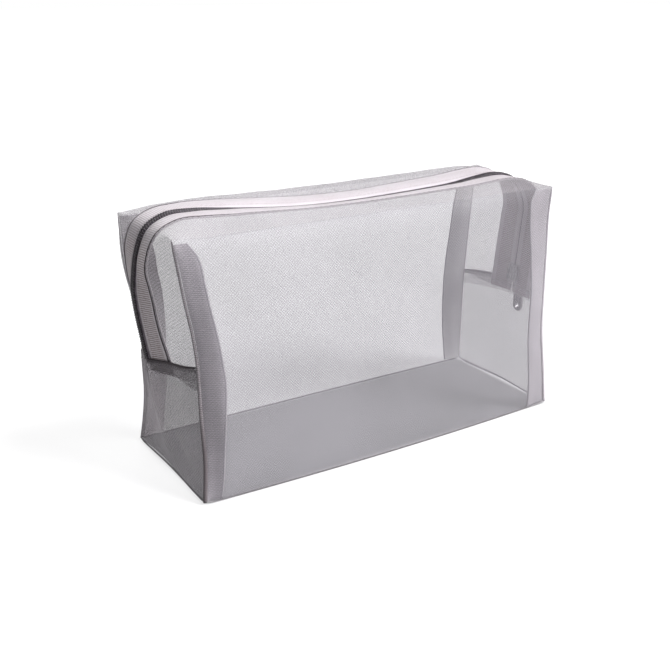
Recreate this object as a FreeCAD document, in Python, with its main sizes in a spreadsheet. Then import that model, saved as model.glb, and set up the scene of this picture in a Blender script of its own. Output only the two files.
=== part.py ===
import FreeCAD, Part
import os

import Sketcher
from FreeCAD import Placement, Rotation, Vector

# A boxy zipped pouch of sheer mesh.  The frame: origin at the middle of the base,
# +X along the length towards the end that holds the slider, +Y to the back, +Z up.
# The zip runs up one end, along the top and down the other end, in the plane y = 0.
# The "ridge" is the outer face of the mesh where it is sewn to the zip tapes.

DIMENSIONS = (
    ("base_length", 230.0, "base, along X"),
    ("base_depth", 83.0, "base, along Y"),
    ("top_length", 236.0, "between the top corners, along X"),
    ("top_depth", 67.0, "between the top corners, along Y"),
    ("corner_height", 133.6, "top corners above the base"),
    ("mesh_thick", 0.5, "sheer mesh cloth"),
    ("panel_clear", 0.05, "between panels that meet at a seam"),
    ("seam_height", 64.0, "seam across each end, above the base"),
    ("seam_lap", 1.5, "folded edge of the lower end panel, above the seam"),
    ("seam_tuck", 2.0, "strips and tapes, tucked below the seam"),
    ("seam_corner_out", 2.3, "lower end panel at its top corners, out from the base"),
    ("seam_middle_out", 8.4, "lower end panel at its top middle, out from the base"),
    ("ridge_foot_out", 6.5, "ridge at the seam, out from the base"),
    ("ridge_lean", 5.5, "lean of the ridge on the ends, degrees outwards"),
    ("ridge_height", 137.0, "ridge at the ends of the top"),
    ("ridge_round", 22.0, "radius of the ridge at the two upper corners"),
    ("corner_round", 4.0, "radius of the cloth at the four top corners"),
    ("top_sag", 5.0, "sag of the zip in the middle of the top"),
    ("lip_half_length", 95.0, "half the length of the lips of the mouth"),
    ("lip_clear", 0.2, "each side of the joint between a lip and the corner strips"),
    ("fold_half_depth", 32.5, "fold line of each lip, from the middle plane"),
    ("fold_height", 132.5, "fold line of each lip, above the base"),
    ("panel_drop", 0.7, "top edge of the tall panels below the fold line"),
    ("strip_edge", 13.4, "inner edge of the mesh strips, from the middle plane"),
    ("tape_lap", 2.6, "tape sewn under the edge of the mesh"),
    ("tape_edge", 1.5, "inner edge of each tape, from the middle plane"),
    ("tape_thick", 0.7, "woven zip tape"),
    ("coil_outer", 3.1, "outer edge of each coil half, from the middle plane"),
    ("coil_inner", 0.8, "inner edge of each coil half, from the middle plane"),
    ("coil_tall", 2.2, "coil above the tape"),
    ("binding_width", 13.0, "bound seam allowances"),
    ("binding_thick", 1.4, "bound seam allowances"),
    ("binding_clear", 0.1, "binding off the panel"),
    ("binding_inset", 1.6, "corner binding in from the corner seam"),
    ("binding_foot", 1.5, "lower end of the corner bindings"),
    ("binding_top", 126.0, "upper end of the corner bindings"),
    ("end_binding_half", 33.5, "half the length of the end bindings, along Y"),
    ("end_binding_foot", 52.0, "lower edge of the end bindings"),
    ("end_binding_tall", 11.5, "height of the end bindings"),
    ("end_binding_thick", 1.2, "end bindings"),
    ("end_binding_corner_out", 1.6, "end binding at its ends, out from the base"),
    ("end_binding_middle_out", 4.5, "end binding at its middle, out from the base"),
    ("slider_rest", 7.4, "middle of the slider, up the ridge from the seam"),
    ("slider_long", 10.0, "slider, along the zip"),
    ("slider_tail", 8.6, "width of the slider at its narrow end"),
    ("slider_shoulder", 10.2, "width of the slider at its wide end"),
    ("slider_waist", 1.0, "where the slider starts to narrow, below its middle"),
    ("slider_clear", 0.3, "between the slider and the zip"),
    ("slider_plate", 1.1, "outer plate of the slider"),
    ("slider_wing", 1.0, "inner plate of the slider"),
    ("flange_thick", 0.9, "side flanges of the slider"),
    ("post_half", 0.5, "half the width of the slider's post"),
    ("post_long", 3.6, "slider's post, along the zip"),
    ("slider_edge", 0.35, "rounding of the slider's outer edges"),
    ("bail_half_long", 4.0, "half the length of the bail"),
    ("bail_half_window", 2.8, "half the length of the window in the bail"),
    ("bail_window", 2.4, "height of the window in the bail"),
    ("bail_top", 1.0, "thickness of the bail over its window"),
    ("bail_wide", 2.4, "width of the bail"),
    ("bail_round", 0.9, "rounding of the bail's outer corners"),
    ("pin_radius", 0.7, "cross bar of the pull"),
    ("prong_inner", 1.5, "inside of each prong of the pull, from its middle"),
    ("prong_outer", 2.9, "outside of each prong of the pull, from its middle"),
    ("prong_long", 4.95, "prongs, from the pivot to the solid part of the pull"),
    ("pull_neck", 7.5, "where the pull starts to widen, from the pivot"),
    ("pull_shoulder", 11.5, "where the pull is full width, from the pivot"),
    ("pull_half_wide", 3.6, "half the width of the pull"),
    ("pull_straight", 22.5, "centre of the round end, from the pivot"),
    ("pull_thick", 1.4, "pull"),
    ("pull_hole", 1.6, "radius of the hole in the pull"),
)

SLANT = "(atan((Dims.base_depth - Dims.top_depth) / 2 / Dims.corner_height) / 1 deg)"
CORNER_LEAN = "(atan((Dims.top_length - Dims.base_length) / 2 / Dims.corner_height) / 1 deg)"
RIDGE_CENTRE_X = (
    "Dims.base_length / 2 + Dims.ridge_foot_out"
    " + (Dims.ridge_height - Dims.ridge_round - Dims.seam_height) * tan(Dims.ridge_lean)"
    " - Dims.ridge_round / cos(Dims.ridge_lean)"
)
RIDGE_CENTRE_Z = "Dims.ridge_height - Dims.ridge_round"
PANEL_INSET = "(Dims.mesh_thick + Dims.panel_clear)"
STRIP_END = "Dims.lip_half_length + Dims.lip_clear"
LIP_END = "(Dims.lip_half_length - Dims.lip_clear)"
STRIP_FOOT = "Dims.seam_height - Dims.seam_tuck"
TAPE_FOOT = "Dims.seam_height - Dims.seam_tuck + 0.5 * Dims.mesh_thick"
COIL_FOOT = "Dims.seam_height + Dims.seam_lap + Dims.slider_clear"
SLIDER_OUTER = "(Dims.coil_tall - Dims.mesh_thick + Dims.slider_clear)"
BAIL_FOOT = f"({SLIDER_OUTER} + Dims.slider_plate)"
PIVOT_OUT = f"({BAIL_FOOT} + Dims.bail_window / 2)"


def make_sheet(doc):
    """The driving dimensions, each under an alias."""
    sheet = doc.addObject("Spreadsheet::Sheet", "Dims")
    for row, (alias, value, note) in enumerate(DIMENSIONS, start=1):
        sheet.set(f"A{row}", alias)
        sheet.set(f"B{row}", str(value))
        sheet.set(f"C{row}", note)
        sheet.setAlias(f"B{row}", alias)
    doc.recompute()
    return sheet


def new_body(doc, label):
    """An empty body whose label names its file."""
    body = doc.addObject("PartDesign::Body", label)
    body.Label = label
    return body


def new_sketch(body, name, role, offset="0", tilt=None):
    """A sketch on one of the body's own origin planes, moved along its normal and tilted
    about its own x axis."""
    sketch = body.newObject("Sketcher::SketchObject", name)
    plane = next(f for f in body.Origin.OriginFeatures if f.Role == role)
    sketch.AttachmentSupport = [(plane, "")]
    sketch.MapMode = "FlatFace"
    sketch.AttachmentOffset = Placement(Vector(), Rotation(Vector(1, 0, 0), 1.0 if tilt else 0.0))
    sketch.setExpression("AttachmentOffset.Base.z", offset)
    if tilt:
        sketch.setExpression("AttachmentOffset.Rotation.Angle", tilt)
    return sketch


def bind(sketch, constraint, expression):
    """Add a constraint whose value follows an expression."""
    index = sketch.addConstraint(constraint)
    sketch.setExpression(f"Constraints[{index}]", expression)


def place(sketch, edge, point, x, z):
    """Hold a point of an edge at two coordinates, starting from where it was drawn."""
    drawn = sketch.getPoint(edge, point)
    bind(sketch, Sketcher.Constraint("DistanceX", edge, point, drawn.x), x)
    bind(sketch, Sketcher.Constraint("DistanceY", edge, point, drawn.y), z)


def join(sketch, edges):
    """Close a ring of edges, each end on the next start."""
    for edge, after in zip(edges, edges[1:] + edges[:1]):
        sketch.addConstraint(Sketcher.Constraint("Coincident", edge, 2, after, 1))


def draw_polygon(sketch, corners):
    """A closed outline of straight lines; corners are pairs of expressions."""
    turn = 360.0 / len(corners)
    rough = [Rotation(Vector(0, 0, 1), turn * i).multVec(Vector(10, 0, 0)) for i in range(len(corners))]
    edges = [
        sketch.addGeometry(Part.LineSegment(start, end))
        for start, end in zip(rough, rough[1:] + rough[:1])
    ]
    join(sketch, edges)
    for edge, (x, y) in zip(edges, corners):
        place(sketch, edge, 1, x, y)


def draw_bowed_band(sketch, bow, ends, middles, half, guess):
    """A thin band between two shallow arcs that bow along one axis of the sketch (x or y)
    and are symmetric about it.  ends and middles are the places of the inner and outer
    arcs on that axis; guess holds rough sizes (end, rise, half, thickness) that the
    solver starts from."""
    end_at, rise_at, half_at, thick_at = guess
    arcs = []
    for shift, end, middle in zip((0.0, thick_at), ends, middles):
        points = [(end_at + shift, -half_at), (end_at + shift + rise_at, 0.0), (end_at + shift, half_at)]
        if bow == "y":
            points = [(across, along) for along, across in points]
        arc = sketch.addGeometry(Part.Arc(*[Vector(x, y, 0) for x, y in points]))
        # An arc runs counter-clockwise, so find which of its ends is the low one.
        start = sketch.getPoint(arc, 1)
        low = 1 if (start.y if bow == "x" else start.x) < 0 else 2
        for point, span in ((low, f"-{half}"), (3 - low, half)):
            place(sketch, arc, point, *((end, span) if bow == "x" else (span, end)))
        rise = f"abs({middle} - {end})"
        radius = sketch.Geometry[arc].Radius
        bind(sketch, Sketcher.Constraint("Radius", arc, radius), f"({half} ^ 2 + {rise} ^ 2) / (2 * {rise})")
        arcs.append((arc, low))
    (inner, inner_low), (outer, outer_low) = arcs
    for inner_end, outer_end in ((inner_low, outer_low), (3 - inner_low, 3 - outer_low)):
        add_cap(sketch, inner, inner_end, outer, outer_end)


def add_cap(sketch, one, one_end, two, two_end):
    """A straight edge from an end of one edge to an end of another."""
    cap = sketch.addGeometry(Part.LineSegment(sketch.getPoint(one, one_end), sketch.getPoint(two, two_end)))
    sketch.addConstraint(Sketcher.Constraint("Coincident", cap, 1, one, one_end))
    sketch.addConstraint(Sketcher.Constraint("Coincident", cap, 2, two, two_end))


def draw_corner_band(sketch, centre, lean, outer, inner, foot, end, guess):
    """A thin band that climbs an end, rounds the upper corner and runs in along the top.
    centre, lean, outer, inner, foot and end are expressions; guess holds rough sizes
    (centre x, centre z, radius, thickness, foot z, end x) that the solver starts from."""
    cx, cz, radius, thick, foot_z, end_x = guess
    quarter = FreeCAD.Units.Quantity("90 deg").getValueAs("rad").Value
    sides = []
    for name, size in ((outer, radius), (inner, radius - thick)):
        climb = sketch.addGeometry(Part.LineSegment(Vector(cx + size, foot_z), Vector(cx + size, cz)))
        circle = Part.Circle(Vector(cx, cz), Vector(0, 0, 1), size)
        arc = sketch.addGeometry(Part.ArcOfCircle(circle, 0.0, quarter))
        top = sketch.addGeometry(Part.LineSegment(Vector(cx, cz + size), Vector(end_x, cz + size)))
        sketch.addConstraint(Sketcher.Constraint("Tangent", climb, 2, arc, 1))
        sketch.addConstraint(Sketcher.Constraint("Tangent", arc, 2, top, 1))
        sketch.addConstraint(Sketcher.Constraint("Horizontal", top))
        bind(sketch, Sketcher.Constraint("Radius", arc, size), name)
        bind(sketch, Sketcher.Constraint("DistanceY", climb, 1, foot_z), foot)
        bind(sketch, Sketcher.Constraint("DistanceX", top, 2, end_x), end)
        sides.append((climb, arc, top))
    (climb, arc, top), (inner_climb, inner_arc, inner_top) = sides
    place(sketch, arc, 3, *centre)
    sketch.addConstraint(Sketcher.Constraint("Coincident", inner_arc, 3, arc, 3))
    bind(sketch, Sketcher.Constraint("Angle", climb, quarter), f"(90 - {lean}) * 1 deg")
    sketch.addConstraint(Sketcher.Constraint("Parallel", inner_climb, climb))
    add_cap(sketch, climb, 1, inner_climb, 1)
    add_cap(sketch, top, 2, inner_top, 2)


def pad(body, sketch, length, name="Pad", both_ways=False):
    """Grow a solid from a sketch, along its normal or half each way."""
    feature = body.newObject("PartDesign::Pad", name)
    feature.Profile = sketch
    feature.setExpression("Length", length)
    if both_ways:
        feature.Midplane = True
    body.Tip = feature
    return feature


def loft(body, sketches, name="Loft"):
    """A solid ruled from one outline to the next."""
    feature = body.newObject("PartDesign::AdditiveLoft", name)
    feature.Profile = sketches[0]
    feature.Sections = sketches[1:]
    feature.Ruled = True
    body.Tip = feature
    return feature


def round_edges(body, base, picked, radius, name="Rounding"):
    """Round the edges of a feature whose numbers are given."""
    feature = body.newObject("PartDesign::Fillet", name)
    feature.Base = (base, [f"Edge{i}" for i in picked])
    feature.setExpression("Radius", radius)
    body.Tip = feature
    return feature


def mirrored(doc, source, label, normal):
    """The same piece on the other side of the plane through the origin."""
    copy = doc.addObject("Part::Mirroring", label)
    copy.Label = label
    copy.Source = source
    copy.Base = Vector(0, 0, 0)
    copy.Normal = normal
    return copy


def four_corners(doc, make, stem):
    """A piece made at the right back corner, and its mirror images at the other three."""
    right_back = make(doc, f"{stem}_right_back")
    left_back = mirrored(doc, right_back, f"{stem}_left_back", Vector(1, 0, 0))
    right_front = mirrored(doc, right_back, f"{stem}_right_front", Vector(0, 1, 0))
    left_front = mirrored(doc, right_front, f"{stem}_left_front", Vector(1, 0, 0))
    return [right_back, left_back, right_front, left_front]


def front_and_back(doc, make, stem):
    """A piece made at the back, and its mirror image at the front."""
    back = make(doc, f"{stem}_back")
    return [back, mirrored(doc, back, f"{stem}_front", Vector(0, 1, 0))]


def both_ends(doc, make, stem):
    """A piece made at the right end, and its mirror image at the left end."""
    right = make(doc, f"{stem}_right")
    return [right, mirrored(doc, right, f"{stem}_left", Vector(1, 0, 0))]


def make_tall_panel(doc, label):
    """The back of the pouch: a flat trapezium that leans in towards the top."""
    body = new_body(doc, label)
    sketch = new_sketch(body, "Outline", "XZ_Plane", "-Dims.base_depth / 2", SLANT)
    tall = f"(Dims.fold_height - Dims.panel_drop) / cos({SLANT})"
    widen = "(Dims.top_length - Dims.base_length) / 2 * (Dims.fold_height / Dims.corner_height)"
    half_top = f"Dims.base_length / 2 + {widen}"
    draw_polygon(
        sketch,
        [
            ("-Dims.base_length / 2", "0"),
            ("Dims.base_length / 2", "0"),
            (half_top, tall),
            (f"-({half_top})", tall),
        ],
    )
    pad(body, sketch, "Dims.mesh_thick")
    return body


def make_base_panel(doc, label):
    """The flat bottom of the pouch, between the tall panels and the end panels."""
    box = doc.addObject("Part::Box", label)
    box.Label = label
    box.setExpression("Length", f"Dims.base_length - 2 * {PANEL_INSET}")
    box.setExpression("Width", f"Dims.base_depth - 2 * {PANEL_INSET}")
    box.setExpression("Height", "Dims.mesh_thick")
    box.setExpression("Placement.Base.x", f"-Dims.base_length / 2 + {PANEL_INSET}")
    box.setExpression("Placement.Base.y", f"-Dims.base_depth / 2 + {PANEL_INSET}")
    return box


def make_end_panel(doc, label):
    """The lower half of an end: straight along the base, bowed outwards along the seam."""
    body = new_body(doc, label)
    low = new_sketch(body, "Base edge", "XY_Plane")
    outer = "Dims.base_length / 2"
    half_low = f"(Dims.base_depth / 2 - {PANEL_INSET})"
    draw_polygon(
        low,
        [
            (f"{outer} - Dims.mesh_thick", f"-{half_low}"),
            (outer, f"-{half_low}"),
            (outer, half_low),
            (f"{outer} - Dims.mesh_thick", half_low),
        ],
    )
    top = "(Dims.seam_height + Dims.seam_lap)"
    high = new_sketch(body, "Seam edge", "XY_Plane", top)
    narrow = f"(Dims.base_depth - Dims.top_depth) / 2 * {top} / Dims.corner_height"
    corner = f"({outer} + Dims.seam_corner_out)"
    middle = f"({outer} + Dims.seam_middle_out)"
    draw_bowed_band(
        high,
        "x",
        (f"({corner} - Dims.mesh_thick)", corner),
        (f"({middle} - Dims.mesh_thick)", middle),
        f"(Dims.base_depth / 2 - {PANEL_INSET} - {narrow})",
        (117.0, 6.0, 37.0, 0.5),
    )
    loft(body, [low, high])
    return body


def make_corner_strip(doc, label):
    """Mesh beside the zip at a top corner: up the end, round the corner and onto the top.
    Its outer edge is the sharp corner of the pouch, its inner edge the rounded ridge."""
    body = new_body(doc, label)
    corner = new_sketch(body, "Corner edge", "XZ_Plane", f"-Dims.base_depth / 2 + {PANEL_INSET}", SLANT)
    tall = f"(Dims.corner_height / cos({SLANT}) - Dims.corner_round)"
    centre_x = f"Dims.base_length / 2 + {tall} * tan({CORNER_LEAN}) - Dims.corner_round / cos({CORNER_LEAN})"
    draw_corner_band(
        corner,
        (centre_x, tall),
        CORNER_LEAN,
        "Dims.corner_round",
        "Dims.corner_round - Dims.mesh_thick",
        f"({STRIP_FOOT}) / cos({SLANT})",
        STRIP_END,
        (114.0, 130.0, 4.0, 0.5, 62.0, 95.0),
    )
    ridges = []
    for name, edge in (("Lap edge", "Dims.strip_edge + Dims.tape_lap"), ("Inner edge", "Dims.strip_edge")):
        ridge = new_sketch(body, name, "XZ_Plane", f"-({edge})")
        draw_corner_band(
            ridge,
            (RIDGE_CENTRE_X, RIDGE_CENTRE_Z),
            "Dims.ridge_lean",
            "Dims.ridge_round",
            "Dims.ridge_round - Dims.mesh_thick",
            STRIP_FOOT,
            STRIP_END,
            (104.0, 115.0, 22.0, 0.5, 62.0, 95.0),
        )
        ridges.append(ridge)
    loft(body, [corner] + ridges)
    return body


def make_ridge_band(doc, label, outside, inside, outer_edge, inner_edge, foot):
    """A band of even section that follows the ridge round a top corner.  outside and
    inside are its faces, measured out from the ridge."""
    body = new_body(doc, label)
    sketch = new_sketch(body, "Outline", "XZ_Plane", f"-({outer_edge})")
    draw_corner_band(
        sketch,
        (RIDGE_CENTRE_X, RIDGE_CENTRE_Z),
        "Dims.ridge_lean",
        f"Dims.ridge_round + {outside}",
        f"Dims.ridge_round + {inside}",
        foot,
        STRIP_END,
        (104.0, 115.0, 22.0, 1.0, 62.0, 95.0),
    )
    pad(body, sketch, f"{outer_edge} - {inner_edge}")
    return body


def make_top_band(doc, label, outside, inside, outer_edge, inner_edge):
    """A band of even section that follows the sagging ridge along the top."""
    body = new_body(doc, label)
    sketch = new_sketch(body, "Outline", "XZ_Plane", f"-({outer_edge})")
    draw_sagging_band(sketch, outside, inside)
    pad(body, sketch, f"{outer_edge} - {inner_edge}")
    return body


def draw_sagging_band(sketch, outside, inside):
    """The outline of a band along the top, lowest in the middle."""
    ends = [f"(Dims.ridge_height + {face})" for face in (inside, outside)]
    middles = [f"({end} - Dims.top_sag)" for end in ends]
    draw_bowed_band(sketch, "y", ends, middles, LIP_END, (136.0, -5.0, 95.0, 1.0))


TAPE_FACES = ("(-Dims.mesh_thick)", "(-Dims.mesh_thick - Dims.tape_thick)")
TAPE_EDGES = ("(Dims.strip_edge + Dims.tape_lap)", "Dims.tape_edge")
COIL_FACES = ("(Dims.coil_tall - Dims.mesh_thick)", "(-Dims.mesh_thick)")
COIL_EDGES = ("Dims.coil_outer", "Dims.coil_inner")


def make_corner_tape(doc, label):
    """Zip tape round a top corner; its outer edge lies under the mesh."""
    return make_ridge_band(doc, label, *TAPE_FACES, *TAPE_EDGES, TAPE_FOOT)


def make_corner_coil(doc, label):
    """Half of the zip's coil round a top corner, on the outer face of its tape."""
    return make_ridge_band(doc, label, *COIL_FACES, *COIL_EDGES, COIL_FOOT)


def make_top_tape(doc, label):
    """Zip tape along a lip of the mouth."""
    return make_top_band(doc, label, *TAPE_FACES, *TAPE_EDGES)


def make_top_coil(doc, label):
    """Half of the zip's coil along a lip of the mouth."""
    return make_top_band(doc, label, *COIL_FACES, *COIL_EDGES)


def make_top_strip(doc, label):
    """Mesh between a top fold of the pouch and the zip tape: one lip of the mouth."""
    body = new_body(doc, label)
    fold = new_sketch(body, "Fold edge", "XZ_Plane", "-Dims.fold_half_depth")
    draw_polygon(
        fold,
        [
            (f"-{LIP_END}", "Dims.fold_height - Dims.mesh_thick / 2"),
            (LIP_END, "Dims.fold_height - Dims.mesh_thick / 2"),
            (LIP_END, "Dims.fold_height + Dims.mesh_thick / 2"),
            (f"-{LIP_END}", "Dims.fold_height + Dims.mesh_thick / 2"),
        ],
    )
    ridges = []
    for name, edge in (("Lap edge", "Dims.strip_edge + Dims.tape_lap"), ("Inner edge", "Dims.strip_edge")):
        ridge = new_sketch(body, name, "XZ_Plane", f"-({edge})")
        draw_sagging_band(ridge, "0", "(-Dims.mesh_thick)")
        ridges.append(ridge)
    loft(body, [fold] + ridges)
    return body


def make_corner_binding(doc, label):
    """The bound allowance of an upright corner seam, folded flat against the tall panel."""
    body = new_body(doc, label)
    inside = "Dims.mesh_thick + Dims.binding_clear"
    sketch = new_sketch(body, "Outline", "XZ_Plane", f"-Dims.base_depth / 2 + {inside}", SLANT)
    corners = []
    for height, side in (
        ("Dims.binding_foot", 1),
        ("Dims.binding_foot", 0),
        ("Dims.binding_top", 0),
        ("Dims.binding_top", 1),
    ):
        outer = f"Dims.base_length / 2 - Dims.binding_inset + {height} * tan({CORNER_LEAN})"
        corners.append((f"{outer} - {side} * Dims.binding_width", height))
    draw_polygon(sketch, corners)
    pad(body, sketch, "Dims.binding_thick")
    return body


def make_end_binding(doc, label):
    """The bound allowance of the seam across an end, inside the pouch."""
    body = new_body(doc, label)
    sketch = new_sketch(body, "Outline", "XY_Plane", "Dims.end_binding_foot")
    corner = "(Dims.base_length / 2 + Dims.end_binding_corner_out)"
    middle = "(Dims.base_length / 2 + Dims.end_binding_middle_out)"
    draw_bowed_band(
        sketch,
        "x",
        (f"({corner} - Dims.end_binding_thick)", corner),
        (f"({middle} - Dims.end_binding_thick)", middle),
        "Dims.end_binding_half",
        (116.0, 3.0, 33.0, 1.2),
    )
    pad(body, sketch, "Dims.end_binding_tall")
    return body


def put_on_zip(piece, out, upright=False):
    """Place a piece made about the slider's own centre: at the slider's rest place on the
    ridge, moved out from the ridge, and leaning with it unless it hangs upright."""
    piece.Placement = Placement(Vector(), Rotation(Vector(0, 1, 0), 0.0 if upright else 1.0))
    if not upright:
        piece.setExpression("Placement.Rotation.Angle", "Dims.ridge_lean")
    foot = "Dims.base_length / 2 + Dims.ridge_foot_out"
    piece.setExpression(
        "Placement.Base.x",
        f"{foot} + Dims.slider_rest * sin(Dims.ridge_lean) + {out} * cos(Dims.ridge_lean)",
    )
    piece.setExpression(
        "Placement.Base.z",
        f"Dims.seam_height + Dims.slider_rest * cos(Dims.ridge_lean) - {out} * sin(Dims.ridge_lean)",
    )


def slider_outline(inset="0"):
    """The slider seen square on: wide at its lower end, narrower above its waist."""
    half = "Dims.slider_long / 2"
    shoulder = f"(Dims.slider_shoulder / 2 - {inset})"
    tail = f"(Dims.slider_tail / 2 - {inset})"
    return [
        (f"-{shoulder}", f"-{half}"),
        (shoulder, f"-{half}"),
        (shoulder, "-Dims.slider_waist"),
        (tail, half),
        (f"-{tail}", half),
        (f"-{shoulder}", "-Dims.slider_waist"),
    ]


def make_slider(doc, label):
    """The slider: an outer plate with side flanges, an inner plate and the post between
    them.  Its x axis points out of the pouch and its z axis up the zip."""
    body = new_body(doc, label)
    outer = new_sketch(body, "Outer plate", "YZ_Plane", SLIDER_OUTER)
    draw_polygon(outer, slider_outline())
    plate = pad(body, outer, "Dims.slider_plate", "OuterPlate")
    doc.recompute()
    face = plate.Shape.BoundBox.XMax
    rim = [i for i, edge in enumerate(plate.Shape.Edges, start=1) if edge.BoundBox.XMin > face - 1e-6]
    round_edges(body, plate, rim, "Dims.slider_edge")
    flange_foot = "(-Dims.mesh_thick + Dims.slider_clear)"
    for side, name in ((1, "RightFlange"), (-1, "LeftFlange")):
        flange = new_sketch(body, name + "Outline", "YZ_Plane", flange_foot)
        ring = slider_outline()[1:4]
        inner = slider_outline("Dims.flange_thick")[1:4]
        corners = [(f"{side} * {y}", z) for y, z in ring + inner[::-1]]
        draw_polygon(flange, corners)
        pad(body, flange, f"{SLIDER_OUTER} - {flange_foot}", name)
    wing_top = "(-Dims.mesh_thick - Dims.tape_thick - Dims.slider_clear)"
    post = new_sketch(body, "PostOutline", "YZ_Plane", wing_top)
    post_foot = "-Dims.slider_long / 2 + Dims.flange_thick"
    draw_polygon(
        post,
        [
            ("-Dims.post_half", post_foot),
            ("Dims.post_half", post_foot),
            ("Dims.post_half / 2", f"{post_foot} + Dims.post_long"),
            ("-Dims.post_half / 2", f"{post_foot} + Dims.post_long"),
        ],
    )
    pad(body, post, f"{SLIDER_OUTER} - {wing_top}", "Post")
    wing = new_sketch(body, "InnerPlateOutline", "YZ_Plane", f"{wing_top} - Dims.slider_wing")
    draw_polygon(wing, slider_outline("Dims.flange_thick / 2"))
    pad(body, wing, "Dims.slider_wing", "InnerPlate")
    put_on_zip(body, "0")
    return body


def make_bail(doc, label):
    """The bridge on the slider that the pull hangs from."""
    body = new_body(doc, label)
    sketch = new_sketch(body, "Arch", "XZ_Plane")
    top = f"{BAIL_FOOT} + Dims.bail_window + Dims.bail_top"
    draw_polygon(
        sketch,
        [
            (BAIL_FOOT, "-Dims.bail_half_long"),
            (top, "-Dims.bail_half_long"),
            (top, "Dims.bail_half_long"),
            (BAIL_FOOT, "Dims.bail_half_long"),
            (BAIL_FOOT, "Dims.bail_half_window"),
            (f"{BAIL_FOOT} + Dims.bail_window", "Dims.bail_half_window"),
            (f"{BAIL_FOOT} + Dims.bail_window", "-Dims.bail_half_window"),
            (BAIL_FOOT, "-Dims.bail_half_window"),
        ],
    )
    arch = pad(body, sketch, "Dims.bail_wide", "ArchSolid", both_ways=True)
    doc.recompute()
    box = arch.Shape.BoundBox
    corners = [
        i
        for i, edge in enumerate(arch.Shape.Edges, start=1)
        if edge.BoundBox.XMin > box.XMax - 1e-6
        and edge.BoundBox.YLength > 0.1
        and edge.BoundBox.ZLength < 1e-6
    ]
    round_edges(body, arch, corners, "Dims.bail_round")
    put_on_zip(body, "0")
    return body


def make_pull(doc, label):
    """The pull: a cross bar through the bail, two prongs and a tongue with a hole."""
    body = new_body(doc, label)
    outline = new_sketch(body, "Tongue", "YZ_Plane", "-Dims.pull_thick / 2")
    draw_polygon(
        outline,
        [
            ("-Dims.pull_half_wide", "-Dims.pull_straight"),
            ("Dims.pull_half_wide", "-Dims.pull_straight"),
            ("Dims.pull_half_wide", "-Dims.pull_shoulder"),
            ("Dims.prong_outer", "-Dims.pull_neck"),
            ("Dims.prong_outer", "0"),
            ("Dims.prong_inner", "0"),
            ("Dims.prong_inner", "-Dims.prong_long"),
            ("-Dims.prong_inner", "-Dims.prong_long"),
            ("-Dims.prong_inner", "0"),
            ("-Dims.prong_outer", "0"),
            ("-Dims.prong_outer", "-Dims.pull_neck"),
            ("-Dims.pull_half_wide", "-Dims.pull_shoulder"),
        ],
    )
    pad(body, outline, "Dims.pull_thick", "TongueSolid")
    end = new_sketch(body, "RoundEndOutline", "YZ_Plane", "-Dims.pull_thick / 2")
    circle = end.addGeometry(Part.Circle(Vector(0, -20, 0), Vector(0, 0, 1), 3.0))
    place(end, circle, 3, "0", "-Dims.pull_straight")
    bind(end, Sketcher.Constraint("Radius", circle, 3.0), "Dims.pull_half_wide")
    pad(body, end, "Dims.pull_thick", "RoundEnd")
    bar = new_sketch(body, "BarOutline", "XZ_Plane")
    circle = bar.addGeometry(Part.Circle(Vector(0, 0, 0), Vector(0, 0, 1), 1.0))
    place(bar, circle, 3, "0", "0")
    bind(bar, Sketcher.Constraint("Radius", circle, 1.0), "Dims.pin_radius")
    solid = pad(body, bar, "2 * Dims.prong_outer", "Bar", both_ways=True)
    doc.recompute()
    whole = solid.Shape.Volume
    eye = new_sketch(body, "HoleOutline", "YZ_Plane")
    circle = eye.addGeometry(Part.Circle(Vector(0, -20, 0), Vector(0, 0, 1), 1.0))
    place(eye, circle, 3, "0", "-Dims.pull_straight")
    bind(eye, Sketcher.Constraint("Radius", circle, 1.0), "Dims.pull_hole")
    hole = body.newObject("PartDesign::Pocket", "Hole")
    hole.Profile = eye
    hole.Type = "ThroughAll"
    hole.Midplane = True
    body.Tip = hole
    doc.recompute()
    if hole.Shape.Volume >= whole:
        raise RuntimeError("the hole in the pull cut nothing")
    put_on_zip(body, PIVOT_OUT, upright=True)
    return body


def make_pieces(doc):
    """Every piece of the pouch."""
    pieces = [make_base_panel(doc, "base_panel")]
    pieces += front_and_back(doc, make_tall_panel, "panel")
    pieces += both_ends(doc, make_end_panel, "end_panel")
    pieces += four_corners(doc, make_corner_strip, "corner_strip")
    pieces += four_corners(doc, make_corner_tape, "corner_tape")
    pieces += four_corners(doc, make_corner_coil, "corner_coil")
    pieces += front_and_back(doc, make_top_strip, "top_strip")
    pieces += front_and_back(doc, make_top_tape, "top_tape")
    pieces += front_and_back(doc, make_top_coil, "top_coil")
    pieces += four_corners(doc, make_corner_binding, "corner_binding")
    pieces += both_ends(doc, make_end_binding, "end_binding")
    pieces += [make_slider(doc, "slider_body"), make_bail(doc, "slider_bail"), make_pull(doc, "pull_tab")]
    return pieces


def check(doc, pieces):
    """Stop if anything failed to build."""
    for item in doc.Objects:
        if "Invalid" in item.State or "Error" in item.State:
            raise RuntimeError(f"{item.Label} failed: {item.State}")
    for piece in pieces:
        shape = piece.Shape
        if shape.isNull() or not shape.isValid() or len(shape.Solids) != 1:
            raise RuntimeError(f"{piece.Label} is not one valid solid")


def main():
    doc = FreeCAD.newDocument("mesh_pouch")
    make_sheet(doc)
    pieces = make_pieces(doc)
    doc.recompute()
    check(doc, pieces)
    os.makedirs("parts", exist_ok=True)
    for piece in pieces:
        piece.Shape.exportStep(f"parts/{piece.Label}.step")
        print(piece.Label, round(piece.Shape.Volume, 1), "mm3")


main()
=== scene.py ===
"""A small zipped bag of see-through net: woven shells, bound corner seams and a coil zip."""

import math

import bpy
import numpy as np
from mathutils import Matrix, Vector, noise


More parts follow.
